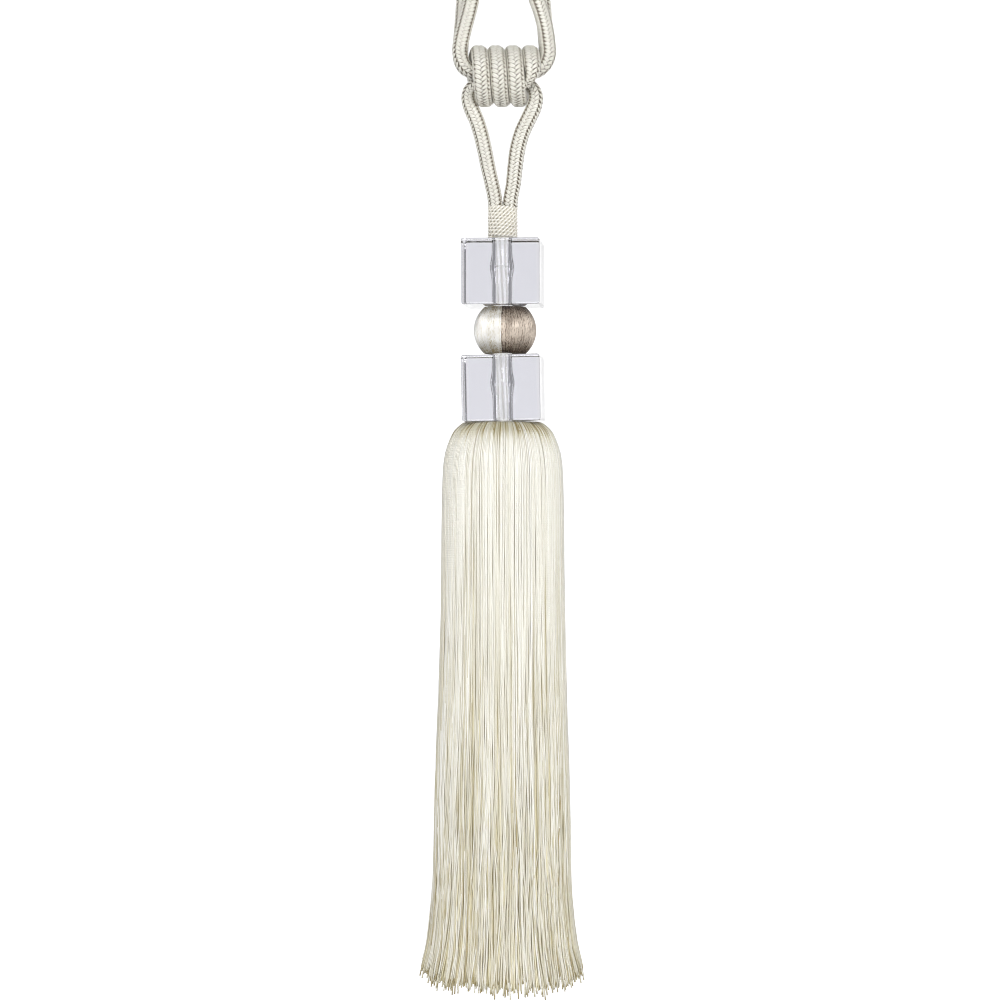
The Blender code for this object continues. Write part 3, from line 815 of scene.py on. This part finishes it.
def block_profile():
    """The shell's outside as (inset from the walls, height), and its bore as (radius, height)."""
    half = BLOCK_HEIGHT / 2
    lower = [(BLOCK_EDGE + FLAT_STRIP, -half)]
    for k in range(EDGE_STEPS + 1):
        angle = math.pi / 2 * k / EDGE_STEPS
        inset, rise = BLOCK_EDGE * (1 - math.sin(angle)), BLOCK_EDGE * (1 - math.cos(angle))
        lower.append((inset, -half + rise))
    lower.append((0.0, -half + BLOCK_EDGE + FLAT_STRIP))
    upper = [(inset, -height) for inset, height in reversed(lower)]
    bore = []
    for height in np.linspace(half, -half, BORE_STEPS + 1):
        belly = BORE_BELLY * math.exp(-(((height - 2 * MM) / (3.6 * MM)) ** 2))
        bore.append((BORE_RADIUS + belly, height))
    return lower + upper, bore


def finish_numbers(outer, bore, turn, quarter):
    """Which finish each face has: 0 for the flat faces, 1 for the bore, 2 for the edges."""
    kinds = np.zeros((len(outer) + len(bore), len(turn)), np.int32)
    kinds[len(outer) :] = 1
    lower_edge = range(1, EDGE_STEPS + 1)
    upper_edge = [len(outer) - 2 - row for row in lower_edge]
    kinds[[*lower_edge, *upper_edge]] = 2
    upright = np.arange(len(turn)) % len(quarter) < CORNER_POINTS - 1
    kinds[EDGE_STEPS + 1 : len(outer) - EDGE_STEPS - 2, upright] = 2
    return kinds


outer, bore = block_profile()
print("a block's shell has", len(outer) + len(bore), "sections")


# %% Blocks
def clear_block(name, top, x, lean, node):
    """One block with its top at a height, x metres off the axis and leaning by some degrees."""
    outer, bore = block_profile()
    corner = np.linspace(-CORNER_TURN, CORNER_TURN, CORNER_POINTS)
    side = np.linspace(CORNER_TURN, np.pi / 2 - CORNER_TURN, 32)[1:-1]
    quarter = np.append(corner, side)
    turn = np.concatenate([quarter + np.pi / 4 + k * np.pi / 2 for k in range(4)])
    rings = []
    for inset, height in outer:
        roundness = max(BLOCK_EDGE - inset, 0.02 * MM)
        rings.append((square_ring(BLOCK_WIDTH / 2 - inset, roundness, turn), height))
    rings += [(np.full(len(turn), radius), height) for radius, height in bore]
    points = [
        np.column_stack([r * np.cos(turn), r * np.sin(turn), np.full(len(turn), h)])
        for r, h in rings
    ]
    number = np.arange(len(rings) * len(turn)).reshape(len(rings), len(turn))
    shell = walls(np.vstack([number, number[:1]]))
    block = new_piece(name, np.vstack(points), [shell], acrylic)
    block.data.materials.append(drilled_acrylic)
    block.data.materials.append(edge_acrylic)
    kinds = finish_numbers(outer, bore, turn, quarter)
    block.data.polygons.foreach_set("material_index", kinds.ravel())
    block.data.set_sharp_from_angle(angle=math.radians(50))
    block.location = (x, 0, top - BLOCK_HEIGHT / 2)
    block.rotation_euler = (0, math.radians(lean), BLOCK_TURN)
    return dressed(block, "clear_block", node)


clear_block("upper_clear_block", UPPER_TOP, 0.0, 0.0, "upper_block")
clear_block("lower_clear_block", LOWER_TOP - 0.2 * MM, 0.2 * MM, -1.1, "lower_block")

# %% [markdown]
# ## The ball
#
# A turned ball covered with silk floss, cream on one side and taupe on the other.
# The floss runs over the ball from bore to bore, so its shine is a band round the
# middle and it darkens above and below, where painted shade darkens it further. Each
# thread is laid as a flat tube, which narrows towards the poles as the threads crowd
# together. Floss is hardly twisted, and it is drawn with small flecks: the pale ones
# are a painted sparkle of light, the dark ones a random tone. It is drawn as partly
# metallic, since so many filaments side by side give back a light that has the silk's own colour.

# %% Ball
BALL_RADIUS = 12.2 * MM
BALL_X = 0.8 * MM
BALL_MIDDLE = BALL_TOP - BALL_HEIGHT / 2
BALL_BORE = 4.1 * MM
BALL_SEAM = math.radians(-8)
FLOSS_THREADS = 88  # on each side
FLOSS_THICKNESS = 0.44 * MM

cream_silk = rayon(
    "cream_floss", "B6A27A", "DEDACA", "FDFDFC", streak_mm=0.08,
    roughness=0.38, gloss=0.9, metal=0.5, relief=0.6, fleck_mm=0.36,
)
taupe_silk = rayon(
    "taupe_floss", "4A382B", "806B57", "D8CABA", streak_mm=0.08,
    roughness=0.36, gloss=0.75, metal=0.6, relief=1.0, fleck_mm=0.36,
)


def ball_profile():
    """(radius, height) down the floss, starting and ending inside the bore."""
    half = BALL_HEIGHT / 2
    height = half * np.cos(np.linspace(0, np.pi, 27))
    radius = np.sqrt(BALL_RADIUS**2 - height**2)
    radius = np.concatenate([[BALL_BORE, 6.4 * MM], radius, [6.4 * MM, BALL_BORE]])
    height = np.concatenate([[half, half], height, [-half, -half]])
    return radius - FLOSS_THICKNESS / 2, height * (1 - FLOSS_THICKNESS / 2 / half)


def ball_half(name, side, finish, pole_shade):
    """The floss on one side; pole_shade is how much painted shade darkens it above and below."""
    radius, height = ball_profile()
    slope = unit(np.column_stack([np.gradient(radius), np.gradient(height)]))
    up = np.array([0, 0, 1])
    lines, outs = [], []
    for k in range(FLOSS_THREADS):
        angle = math.pi * ((k + 0.5) / FLOSS_THREADS - side / 2) + BALL_SEAM
        east = np.array([math.cos(angle), math.sin(angle), 0])
        lines.append(east * radius[:, None] + up * height[:, None])
        outs.append(east * -slope[:, 1:] + up * slope[:, :1])
    lines = np.array(lines) + np.array([BALL_X, 0, BALL_MIDDLE])
    widths = np.pi * radius / FLOSS_THREADS * 1.12
    tones = np.random.default_rng(3).uniform(0.15, 0.85, (FLOSS_THREADS, 1))
    # painted shade towards the poles
    tones = tones - pole_shade * np.abs(2 * height / BALL_HEIGHT) ** 3
    section = round_section(6)
    return tubes(name, lines, np.array(outs), section, widths, FLOSS_THICKNESS, finish, tones)


cream = ball_half("cream_half", -1, cream_silk, 0.9)
dressed(cream, "cream_silk", "ball_cream_half")
taupe = ball_half("taupe_half", 1, taupe_silk, 1.0)
dressed(taupe, "taupe_silk", "ball_taupe_half")
profile = [
    (max(r - 0.25 * MM, BORE_RADIUS), h * 0.97 + BALL_MIDDLE) for r, h in zip(*ball_profile())
]
# the ball's core takes the same dark finish, as painted shade where the floss parts
wood = turned("ball_core", profile, 64, shade_core)
wood.location.x = BALL_X
dressed(wood, "taupe_silk")

# %% [markdown]
# ## The skirt
#
# Several thousand rayon threads hang from a small head, fan over its dome and fall
# straight, then fray a little towards the hem. Four things make it look real: the
# outer threads follow the dome, neighbours draw together into locks that leave
# narrow gaps, a faint painted glow on the inner threads stands in for light that has
# come through the outer ones and keeps those gaps from being black, and the hem is
# uneven because each thread was cut by hand.
# Hair curves would draw this too, but the kept model needs meshes, so the threads are
# tubes in six layers, one under the other, with a loose bundle inside them. The outer
# layers have the yarn's full gloss. The inner ones lie in the shade and are matt.

# %% The skirt's outline
SKIRT_OUTLINE = [  # (depth below the top, radius, 0) in millimetres
    (-1.0, 13.6, 0), (0.0, 15.6, 0), (1.6, 17.7, 0), (4.0, 19.8, 0), (9.5, 22.1, 0), (14.0, 23.1, 0),
    (21.0, 23.7, 0), (40.0, 24.1, 0), (70.0, 24.4, 0), (108.0, 25.4, 0), (140.0, 26.5, 0),
    (177.0, 27.3, 0), (190.0, 28.2, 0), (202.0, 29.6, 0), (209.0, 31.3, 0), (216.0, 32.8, 0),
    (222.0, 33.4, 0),
]
HEM = 215.5 * MM
THREAD = 0.66 * MM

outline, _ = smooth_line(SKIRT_OUTLINE, 0.25 * MM)


def reach_at(depth):
    """The skirt's radius at a depth below its top."""
    return np.interp(depth, outline[:, 0], outline[:, 1])


skirt_yarn = rayon(
    "fringe_rayon", "9D8C57", "CAC3A6", "F4F3EC", streak_mm=0.12, groove_shade=0.24, ply_mm=0.9,
    roughness=0.34, gloss=0.85, relief=0.6,
)
skirt_inner = rayon(
    "fringe_rayon_inside", "AFA37A", "D2CBAD", "E8E3CF", streak_mm=0.12, ply_mm=0.9,
    roughness=0.6, gloss=0.0,
)
# painted light: the inner threads glow faintly, as for light that has come through the outer ones
painted_glow(skirt_inner, "AEA57C", 0.14)
print("the skirt is", round(2 * reach_at(50 * MM) / MM, 1), "mm wide 50 mm down")

# %% Where the threads hang
DEPTHS = np.array([
    0, 0.8, 1.8, 3, 4.5, 6.5, 9, 12, 16, 22, 31, 43, 57, 72, 87, 102, 117, 132, 146, 159, 171,
    181, 190, 198, 205, 210, 213.4, HEM / MM,
]) * MM
dice = np.random.default_rng(11)


def waves(amplitudes, depth, lengths, dice):
    """A sum of slow random waves for each thread, in the unit of amplitudes."""
    total = 0
    for size in lengths:
        phase = dice.uniform(0, 2 * np.pi, (len(amplitudes), 1))
        stretch = dice.uniform(0.75, 1.3, (len(amplitudes), 1))
        total = total + np.sin(2 * np.pi * depth / (size * MM * stretch) + phase)
    return amplitudes * total / len(lengths)


def lock_of(angles, count, dice):
    """Which lock each angle falls in, and each lock's middle."""
    edges = np.sort(dice.uniform(0, 2 * np.pi, count))
    number = np.searchsorted(edges, angles % (2 * np.pi)) % count
    east, north = [
        np.bincount(number, part, count) for part in (np.cos(angles), np.sin(angles))
    ]
    return number, np.arctan2(north, east)


def layer_threads(count, rise, locks, dice):
    """Angles of a layer's threads, their locks, the way to a lock's middle, and depths."""
    jitter = dice.uniform(-0.25, 0.25, count)
    angles = 2 * np.pi * (np.arange(count) + jitter + dice.uniform(0, 1)) / count
    number, middles = lock_of(angles, locks, dice)
    offset = (middles[number] - angles + np.pi) % (2 * np.pi) - np.pi
    cut = dice.normal(1.4 - 2 * rise[0], 1.0, count) + dice.uniform(-2.2, 2.0, locks)[number]
    cut = cut - 2.0 * np.sin(angles) ** 2 - 3.5 * np.sin(angles) ** 8  # shorter at the sides
    length = 1 + cut * MM / HEM
    first = (0.1 + 0.8 * rise[0]) * MM
    depth = first + DEPTHS[None] * (length[:, None] - first / HEM)
    return angles, number, offset, depth


def thread_lines(angles, number, offset, depth, rise, locks, dice):
    """The lines of a layer's threads, from the rim of the dome's top to the hem."""
    each = len(angles), 1
    low = smooth_step(depth, 10 * MM, 190 * MM)
    pull = 0.06 * smooth_step(depth, 5 * MM, 50 * MM) + 0.26 * low
    lean = dice.normal(0, 1.0, locks)[number][:, None] * MM * low
    sway = waves(1.1 * MM * low, depth, (130, 70), dice)
    frayed = smooth_step(depth, 140 * MM, 225 * MM) * 2.0
    stray = dice.standard_t(2.2, each).clip(-5, 5) * MM * frayed
    turn = angles[:, None] + offset[:, None] * pull + (lean + sway + stray) / reach_at(depth)
    inset = rise[0] + (rise[1] - rise[0]) * smooth_step(depth, 2 * MM, 30 * MM)
    uneven = dice.uniform(0, 0.3, each)
    uneven = uneven + dice.uniform(0, 1, locks)[number][:, None] * (0.1 + 0.4 * low)
    radius = reach_at(depth) - THREAD / 2 - (inset + uneven) * MM
    radius = radius + waves(0.3 * MM * low, depth, (90,), dice)
    x, y = radius * np.sin(turn) - 0.3 * MM * low**2, -radius * np.cos(turn)
    return np.stack([x, y, SKIRT_TOP - depth], axis=-1)


def with_crown(lines, start_radius):
    """Adds the stretch where each thread comes out from under the block, over the dome's top."""
    first = lines[:, :1]
    out = unit(first * (1, 1, 0))
    reach = np.linalg.norm(first[..., :2], axis=2)[..., None]
    top = (0, 0, 1) * (first + 0.25 * MM)
    crown = [out * (start_radius + (reach - start_radius) * share) + top for share in (0, 0.5, 0.85)]
    return np.concatenate([*crown, lines], axis=1)


def outward(lines):
    """The level direction away from the skirt's axis at each point."""
    return unit(lines * (1, 1, 0) + (0, 0, 1e-6))


print("a thread has", len(DEPTHS) + 3, "points, three of them on the crown")

# %% The skirt's layers
CROWN_START = 7 * MM
DOWN = np.insert(DEPTHS, 0, (0, 0, 0))
LAYERS = (
    # name, threads, mm under the outline at the top and lower down, locks, corners
    ("fringe_a", 215, (0.0, 0.0), 55, 5),
    ("fringe_b", 200, (0.2, 0.12), 60, 5),
    ("fringe_c", 190, (0.4, 0.3), 60, 4),
    ("fringe_d", 180, (0.6, 0.5), 50, 4),
    ("fringe_e", 170, (0.85, 0.75), 45, 4),
    ("fringe_f", 170, (1.1, 1.05), 40, 4),
)


def thread_tones(number, locks, dice):
    """Tones down each thread: painted shadow of the block on the crown, more varied lower down,
    painted shade towards the hem.
    """
    each = len(number), 1
    spread = 0.06 + 0.11 * smooth_step(DOWN, 30 * MM, 120 * MM)
    own = dice.normal(0, 1, each).clip(-2, 2)
    tones = 0.66 + spread * (own + 0.8 * dice.normal(0, 1, locks)[number][:, None])
    # painted shadow of the block on the dome's top, reaching a random depth on each thread
    crown = dice.uniform(0.25, 1.0, each)
    crown = crown * (1 - smooth_step(DOWN, 2 * MM, dice.uniform(4, 13, each) * MM))
    # painted shade grows towards the hem
    tones = tones - crown - 0.4 * DOWN / HEM
    # painted shade on the cut tips, by a random amount
    tones[:, -1] -= 0.9 * dice.uniform(0, 1, len(number))
    return tones


thick = THREAD * (1 - 0.2 * smooth_step(DOWN, 205 * MM, HEM))
for name, count, rise, locks, corners in LAYERS:
    angles, number, offset, depth = layer_threads(count, rise, locks, dice)
    lines = thread_lines(angles, number, offset, depth, rise, locks, dice)
    lines = with_crown(lines, CROWN_START)
    tones = thread_tones(number, locks, dice)
    finish = skirt_yarn if rise[0] < 0.5 else skirt_inner
    section = round_section(corners)
    fringe = tubes(name, lines, outward(lines), section, thick, thick, finish, tones)
    dressed(fringe, "skirt_thread", "tassel_skirt")

# %% The skirt's inside
INSIDE_THREADS = 1500
INSIDE_TOP = 120 * MM

share = np.sqrt(dice.uniform(0.0, 0.86, INSIDE_THREADS))
angles = dice.uniform(0, 2 * np.pi, INSIDE_THREADS)
length = HEM + dice.normal(-1.5, 1.8, INSIDE_THREADS) * MM
depth = INSIDE_TOP + (length[:, None] - INSIDE_TOP) * np.linspace(0, 1, 8)
radius = reach_at(depth) * share[:, None]
sway = waves(0.9 * MM + 0 * depth, depth, (90,), dice)
turn = angles[:, None] + sway / np.maximum(radius, 4 * MM)
lines = np.stack([radius * np.sin(turn), -radius * np.cos(turn), SKIRT_TOP - depth], axis=-1)
tones = dice.uniform(0, 1, INSIDE_THREADS)
inside = tubes(
    "fringe_inside", lines, outward(lines), round_section(3), THREAD, THREAD, skirt_inner, tones
)
dressed(inside, "skirt_thread")

profile = [(BORE_RADIUS, SKIRT_TOP - 0.9 * MM)]
for depth in np.array([0.9, 2, 4, 7, 10, 14, 20, 40, 70, 110, 150, 180]) * MM:
    profile.append((reach_at(depth) - 1.9 * MM, SKIRT_TOP - 1.0 * MM - depth))
head = turned("fringe_head", profile, 72, skirt_inner)
dressed(head, "skirt_thread")

# %% [markdown]
# ## The studio
#
# The picture is a cut-out on white, lit softly from the front, so the shine on the
# vertical threads falls at eye level and the dome's top stays dim. A pale paper sweep
# stands in for floor and wall. Its wall glows, most in the middle, so that it is white
# behind the tassel and gives the clear blocks something pale to bend. One wide soft
# light hangs above the camera, and two small ones stand left and right.

# %% Paper sweep
FLOOR = -0.7
WALL = 2.6
BEND = 0.6
HALF_WIDTH = 3.0

paper, nodes, shader = new_material("white_paper_sweep")
place = add(nodes, "TexCoord").outputs["Object"]
apart = add(nodes, "SeparateXYZ", {"Vector": place})
back = add(nodes, "MapRange", {"Value": apart.outputs["Y"], "From Min": 0.9, "From Max": 1.5})
aside = add(nodes, "Math", {0: apart.outputs["X"]}, operation="ABSOLUTE").outputs[0]
middle = {"Value": aside, "From Min": 0.8, "From Max": 1.3, "To Min": 0.53, "To Max": 0.32}
middle = add(nodes, "MapRange", middle).outputs["Result"]
glow = add(nodes, "Math", {0: back.outputs["Result"], 1: middle}, operation="MULTIPLY")
fill(shader, {"Base Color": linear("F4F4F4"), "Roughness": 0.9})
fill(shader, {"Emission Color": linear("FFFFFF"), "Emission Strength": glow.outputs[0]})
bend = np.linspace(0, math.pi / 2, 12)
sweep = [(-HALF_WIDTH, FLOOR)]
sweep += [(WALL - BEND + BEND * math.sin(a), FLOOR + BEND * (1 - math.cos(a))) for a in bend]
sweep += [(WALL, 2.5)]
points = np.array([(x, y, z) for y, z in sweep for x in (-HALF_WIDTH, HALF_WIDTH)])
number = np.arange(len(points)).reshape(-1, 2)
faces = np.stack([number[:-1, 0], number[:-1, 1], number[1:, 1], number[1:, 0]], axis=-1)
new_piece("paper_sweep", points, [faces], paper)
print("the sweep has", len(faces), "strips")

# %% Lights
AIM = np.array((0, 0, -0.2))


def soft_light(name, place, size, power):
    """A rectangular lamp at a place, turned towards the middle of the tassel."""
    lamp = bpy.data.lights.new(name, "AREA")
    lamp.shape = "RECTANGLE"
    lamp.size, lamp.size_y = size
    lamp.energy = power
    made = bpy.data.objects.new(name, lamp)
    made.location = place
    aim = unit(AIM - np.array(place))
    made.rotation_euler = (math.acos(-aim[2]), 0, math.atan2(aim[1], aim[0]) - math.pi / 2)
    bpy.context.collection.objects.link(made)


soft_light("front_light", (0.1, -1.35, 0.34), (1.1, 0.45), 13)
soft_light("left_light", (-1.1, -0.6, -0.32), (0.5, 0.35), 3)
soft_light("right_light", (1.1, -0.6, -0.32), (0.5, 0.35), 3)

world = bpy.data.worlds.new("studio")
world.use_nodes = True
fill(world.node_tree.nodes["Background"], {"Color": linear("FFFFFF"), "Strength": 0.42})
bpy.context.scene.world = world
bpy.context.scene.cycles.filter_width = 1.0
bpy.context.scene.view_settings.view_transform = "Standard"
